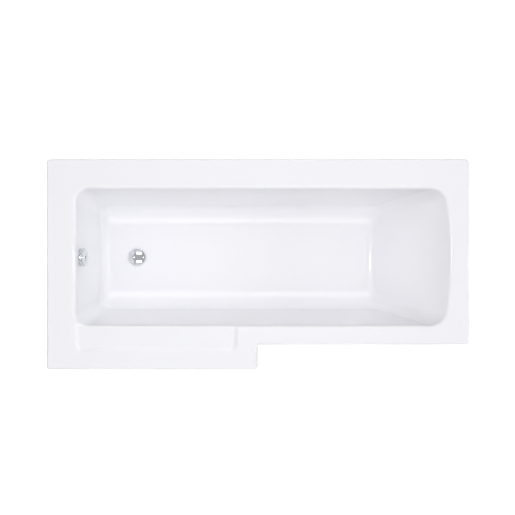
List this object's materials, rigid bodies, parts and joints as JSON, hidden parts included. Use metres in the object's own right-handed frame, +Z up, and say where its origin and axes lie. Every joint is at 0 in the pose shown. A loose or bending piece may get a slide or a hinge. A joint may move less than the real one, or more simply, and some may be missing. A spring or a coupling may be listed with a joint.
{
  "type": "l-shaped shower bath",
  "caption": "White L-shaped shower bath: moulded acrylic basin with a wide shower end, draining shelf, sloping backrest, pop-up waste, turning overflow knob and screw-adjusted feet.",
  "frame": {"origin": "on the floor, under the middle of the bath's outline", "axes": "+X from the waste end to the head end, +Y to the wall side, +Z up"},
  "size_m": [1.7, 0.85, 0.54],
  "materials": {
    "white_acrylic": "polished moulded acrylic",
    "glass_fibre": "rough sprayed resin and chopped fibre",
    "chipboard": "raw moisture-resistant chipboard",
    "softwood": "sawn softwood",
    "galvanised_steel": "galvanised sheet",
    "zinc_plate": "bright zinc plate",
    "black_plastic": "moulded",
    "white_plastic": "moulded",
    "dark_rubber": "moulded",
    "chrome_plate": "polished chrome plate",
    "brass_rod": "turned",
    "grey_plastic": "extruded"
  },
  "bodies": {
    "bath": {"baseboard": "chipboard", "bath_shell": "white_acrylic", "centre_foot_bracket": "galvanised_steel", "cradle_rail_foot": "galvanised_steel", "cradle_rail_head": "galvanised_steel", "cradle_screws": "zinc_plate", "crank_cover": "white_plastic", "glass_fibre_backing": "glass_fibre", "guide_clips": "black_plastic", "guide_tube": "grey_plastic", "lever_cover": "white_plastic", "overflow_body": "white_plastic", "overflow_gasket": "dark_rubber", "overflow_pipe": "white_plastic", "overflow_rosette": "chrome_plate", "overflow_screws": "zinc_plate", "pipe_nut_overflow": "white_plastic", "pipe_nut_waste": "white_plastic", "pipe_seals": "dark_rubber", "rail_nuts": "zinc_plate", "rim_batten_back": "softwood", "rim_batten_foot": "softwood", "rim_batten_front": "softwood", "rim_batten_head": "softwood", "rim_batten_shower_front": "softwood", "wall_bracket_screws": "zinc_plate", "wall_brackets": "galvanised_steel", "waste_body": "white_plastic", "waste_bottom_seal": "dark_rubber", "waste_flange": "chrome_plate", "waste_top_seal": "dark_rubber"},
    "foot_1": {"foot_pad_1": "black_plastic", "foot_stud_1": "zinc_plate"},
    "foot_2": {"foot_pad_2": "black_plastic", "foot_stud_2": "zinc_plate"},
    "foot_3": {"foot_pad_3": "black_plastic", "foot_stud_3": "zinc_plate"},
    "foot_4": {"foot_pad_4": "black_plastic", "foot_stud_4": "zinc_plate"},
    "foot_5": {"foot_pad_5": "black_plastic", "foot_stud_5": "zinc_plate"},
    "plug": {"plug_cap": "chrome_plate", "plug_seal": "dark_rubber", "plug_stem": "brass_rod"},
    "lever": {"lift_lever": "brass_rod", "lever_crank": "white_plastic"},
    "knob": {"control_knob": "chrome_plate", "knob_spindle": "brass_rod", "knob_crank": "white_plastic"}
  },
  "joints": [
    {"name": "knob_turn", "type": "hinge", "parent": "bath", "child": "knob", "pos_m": [-0.72439, 0.028, 0.478], "axis": [0.9925, 0, 0.1219], "range_deg": [0, 120]},
    {"name": "lever_turn", "type": "hinge", "parent": "bath", "child": "lever", "pos_m": [-0.51187, 0.028, 0.098], "axis": [0, 1, 0], "range_deg": [0, 33]},
    {"name": "plug_lift", "type": "slide", "parent": "bath", "child": "plug", "axis": [0, 0, 1], "range_m": [0, 0.012]},
    {"name": "foot_1_height", "type": "slide", "parent": "bath", "child": "foot_1", "axis": [0, 0, 1], "range_m": [-0.02, 0.015]},
    {"name": "foot_2_height", "type": "slide", "parent": "bath", "child": "foot_2", "axis": [0, 0, 1], "range_m": [-0.02, 0.015]},
    {"name": "foot_3_height", "type": "slide", "parent": "bath", "child": "foot_3", "axis": [0, 0, 1], "range_m": [-0.02, 0.015]},
    {"name": "foot_4_height", "type": "slide", "parent": "bath", "child": "foot_4", "axis": [0, 0, 1], "range_m": [-0.02, 0.015]},
    {"name": "foot_5_height", "type": "slide", "parent": "bath", "child": "foot_5", "axis": [0, 0, 1], "range_m": [-0.008, 0.015]}
  ],
  "couplings": [
    {"joint": "lever_turn", "follows": "knob_turn", "ratio": 0.275},
    {"joint": "plug_lift", "follows": "knob_turn", "m_per_rad": 0.0057296}
  ]
}
